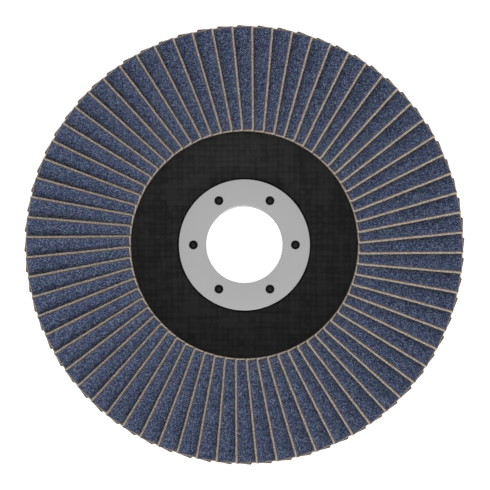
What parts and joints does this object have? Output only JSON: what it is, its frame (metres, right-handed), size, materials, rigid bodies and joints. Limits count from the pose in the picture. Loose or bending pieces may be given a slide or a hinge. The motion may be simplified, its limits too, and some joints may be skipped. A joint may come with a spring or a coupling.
{
  "type": "flap disc",
  "caption": "Abrasive flap disc for an angle grinder: lapped blue cloth flaps fanned round a dished black glass-fibre plate with a steel arbor ring.",
  "frame": {"origin": "on the bore axis in the rear clamping plane, which is also what the disc lies on", "axes": "+Z along the bore axis, out of the working face; a flap near +Y shows its free long edge on the +X side"},
  "size_m": [0.127, 0.127, 0.0166],
  "materials": {
    "ring_steel": "satin",
    "glass_resin": "semi-matt, faint square weave",
    "bond_resin": "dull",
    "abrasive_cloth": "gritty"
  },
  "bodies": {
    "root": {"arbor_ring": "ring_steel", "backing_plate": "glass_resin", "resin_bed": "bond_resin", "flap_pair_01": "abrasive_cloth", "flap_pair_02": "abrasive_cloth", "flap_pair_03": "abrasive_cloth", "flap_pair_04": "abrasive_cloth", "flap_pair_05": "abrasive_cloth", "flap_pair_06": "abrasive_cloth", "flap_pair_07": "abrasive_cloth", "flap_pair_08": "abrasive_cloth", "flap_pair_09": "abrasive_cloth", "flap_pair_10": "abrasive_cloth", "flap_pair_11": "abrasive_cloth", "flap_pair_12": "abrasive_cloth", "flap_pair_13": "abrasive_cloth", "flap_pair_14": "abrasive_cloth", "flap_pair_15": "abrasive_cloth", "flap_pair_16": "abrasive_cloth", "flap_pair_17": "abrasive_cloth", "flap_pair_18": "abrasive_cloth", "flap_pair_19": "abrasive_cloth", "flap_pair_20": "abrasive_cloth", "flap_pair_21": "abrasive_cloth", "flap_pair_22": "abrasive_cloth", "flap_pair_23": "abrasive_cloth", "flap_pair_24": "abrasive_cloth", "flap_pair_25": "abrasive_cloth", "flap_pair_26": "abrasive_cloth", "flap_pair_27": "abrasive_cloth", "flap_pair_28": "abrasive_cloth", "flap_pair_29": "abrasive_cloth", "flap_pair_30": "abrasive_cloth", "flap_pair_31": "abrasive_cloth", "flap_pair_32": "abrasive_cloth", "flap_pair_33": "abrasive_cloth", "flap_pair_34": "abrasive_cloth"}
  },
  "joints": []
}
